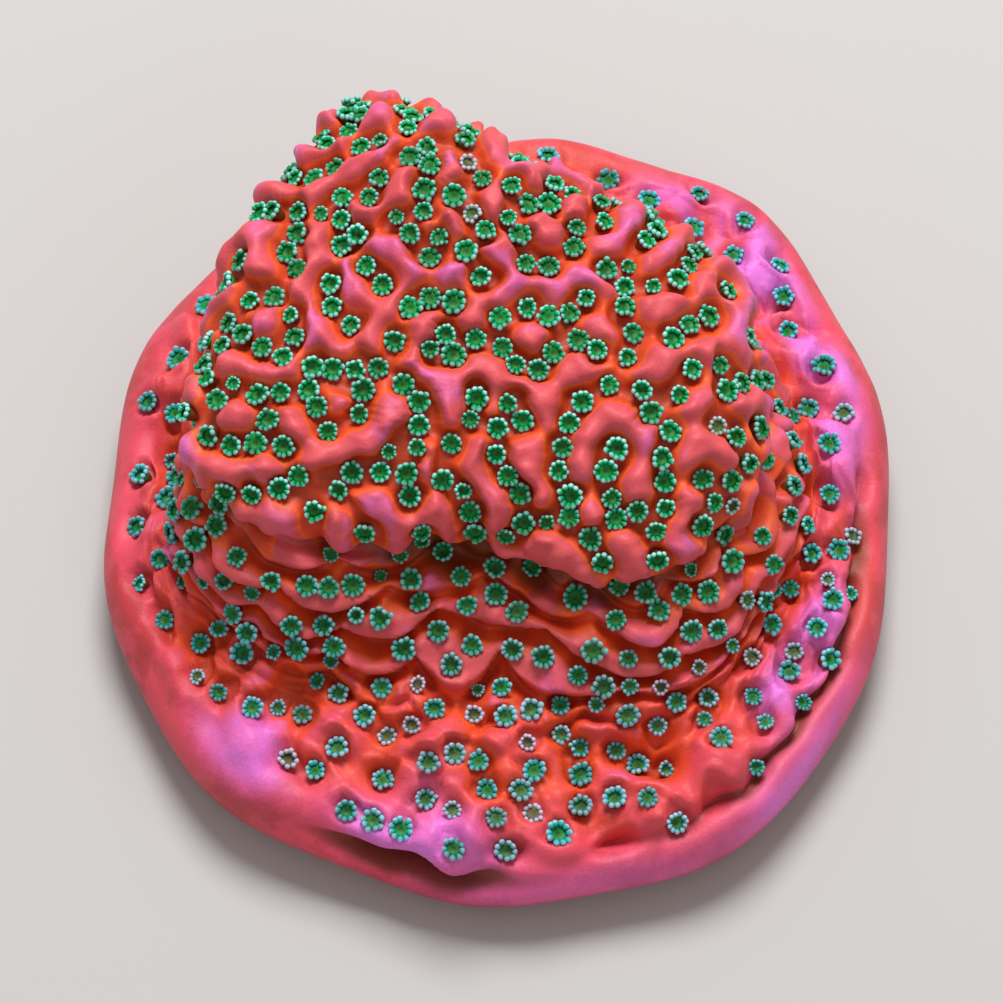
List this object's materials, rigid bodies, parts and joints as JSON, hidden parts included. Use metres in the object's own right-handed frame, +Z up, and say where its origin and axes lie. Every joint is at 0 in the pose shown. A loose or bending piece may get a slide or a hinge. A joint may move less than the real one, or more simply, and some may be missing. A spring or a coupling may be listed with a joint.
{
  "type": "montipora coral",
  "caption": "Encrusting montipora coral colony: a round plate with a smooth thick rim steps up in ledges to a ridged mound dotted with small polyps; cut flat underneath to rest.",
  "frame": {"origin": "on the cut underside, under the middle of the colony's box", "axes": "+Z up from the cut, -Y towards the front that the lip overhangs, +Y towards the peak, +X to the right"},
  "size_m": [0.0324, 0.0344, 0.0164],
  "materials": {
    "tissue": "moist coral tissue, red-orange with pink and violet ridges and rim",
    "polyp": "soft moist polyps, green with paler blue-green tips"
  },
  "bodies": {
    "root": {"colony": "tissue"}
  },
  "joints": []
}
